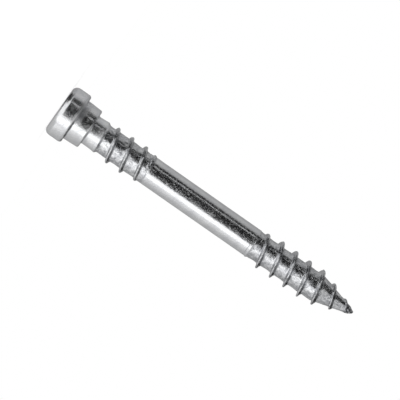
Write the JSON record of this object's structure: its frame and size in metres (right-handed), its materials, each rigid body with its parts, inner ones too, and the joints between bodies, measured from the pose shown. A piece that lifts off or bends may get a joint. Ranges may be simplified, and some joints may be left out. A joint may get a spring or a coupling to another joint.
{
  "type": "deck screw",
  "caption": "Steel deck screw with a flat round head, a collar, two bands of coarse thread parted by a bare shank, and a gimlet point.",
  "frame": {"origin": "centre of the head's top face, on which the screw stands", "axes": "+Z along the screw's axis, from the head to the point; the head face looks down -Z"},
  "size_m": [0.008, 0.008, 0.0508],
  "materials": {
    "screw_steel": "bright rolled steel with a fine grain and small rolling marks"
  },
  "bodies": {
    "root": {"deck_screw": "screw_steel"}
  },
  "joints": []
}
